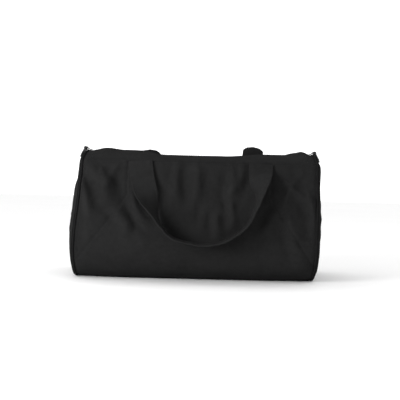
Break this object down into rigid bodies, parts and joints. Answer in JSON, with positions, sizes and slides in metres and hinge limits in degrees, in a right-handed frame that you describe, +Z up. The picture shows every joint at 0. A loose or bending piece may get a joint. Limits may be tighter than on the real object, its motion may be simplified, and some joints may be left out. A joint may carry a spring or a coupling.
{
  "type": "duffel bag",
  "caption": "Small zip-top duffel bag of black woven fabric with bulging ends, piped end seams, a pair of short carry handles and a D-ring at each end.",
  "frame": {"origin": "middle of the face that the bag stands on", "axes": "+X along the bag towards its right end, -Y towards the front handle's side, +Z up"},
  "size_m": [0.4582, 0.3408, 0.2403],
  "materials": {
    "body_fabric": "fine plain-weave coated polyester, soft sheen",
    "strap_fabric": "folded self-fabric strap, two stitch rows a side",
    "piping_fabric": "self-fabric piping",
    "binding_tape": "woven binding tape",
    "webbing": "ribbed polypropylene webbing",
    "zip_tape": "fine herringbone zip tape",
    "zip_coil": "nylon coil",
    "zip_metal": "black enamelled die-cast zinc",
    "ring_metal": "black coated steel wire"
  },
  "bodies": {
    "bag": {"bottom_panel": "body_fabric", "handle_back_ends": "strap_fabric", "front_panel": "body_fabric", "front_corner_left": "body_fabric", "front_corner_right": "body_fabric", "back_panel": "body_fabric", "back_corner_left": "body_fabric", "back_corner_right": "body_fabric", "end_panel_left": "body_fabric", "end_piping_left": "piping_fabric", "end_binding_left": "binding_tape", "zip_end_left": "body_fabric", "d_ring_tab_left": "webbing", "end_panel_right": "body_fabric", "end_piping_right": "piping_fabric", "end_binding_right": "binding_tape", "zip_end_right": "body_fabric", "d_ring_tab_right": "webbing"},
    "mouth_front": {"mouth_flap_front": "body_fabric", "zip_tape_front": "zip_tape", "zip_coil_front": "zip_coil"},
    "mouth_back": {"mouth_flap_back": "body_fabric", "zip_tape_back": "zip_tape", "zip_coil_back": "zip_coil"},
    "zip_slider": {"zip_slider": "zip_metal"},
    "zip_puller": {"zip_puller": "zip_metal"},
    "d_ring_left": {"d_ring_left": "ring_metal"},
    "d_ring_right": {"d_ring_right": "ring_metal"},
    "handle_front": {"handle_front": "strap_fabric"},
    "handle_back": {"handle_back": "strap_fabric"}
  },
  "joints": [
    {"name": "mouth_front_fold", "type": "hinge", "parent": "bag", "child": "mouth_front", "pos_m": [0, -0.11, 0.212], "axis": [1, 0, 0], "range_deg": [0, 50]},
    {"name": "mouth_back_fold", "type": "hinge", "parent": "bag", "child": "mouth_back", "pos_m": [0, 0.11, 0.212], "axis": [-1, 0, 0], "range_deg": [0, 50]},
    {"name": "handle_front_swing", "type": "hinge", "parent": "bag", "child": "handle_front", "pos_m": [0, -0.117, 0.212], "axis": [-1, 0, 0], "range_deg": [0, 180]},
    {"name": "handle_back_swing", "type": "hinge", "parent": "bag", "child": "handle_back", "pos_m": [0, 0.117, 0.239], "axis": [1, 0, 0], "range_deg": [0, 180]},
    {"name": "zip_slide", "type": "slide", "parent": "bag", "child": "zip_slider", "axis": [1, 0, 0], "range_m": [-0.379, 0]},
    {"name": "zip_puller_swing", "type": "hinge", "parent": "zip_slider", "child": "zip_puller", "pos_m": [0.1995, 0, 0.2334], "axis": [0, 1, 0], "range_deg": [0, 150]},
    {"name": "d_ring_left_swing", "type": "hinge", "parent": "bag", "child": "d_ring_left", "pos_m": [-0.218, 0, 0.2365], "axis": [0, 1, 0], "range_deg": [0, 120]},
    {"name": "d_ring_right_swing", "type": "hinge", "parent": "bag", "child": "d_ring_right", "pos_m": [0.218, 0, 0.2365], "axis": [0, -1, 0], "range_deg": [0, 120]}
  ]
}
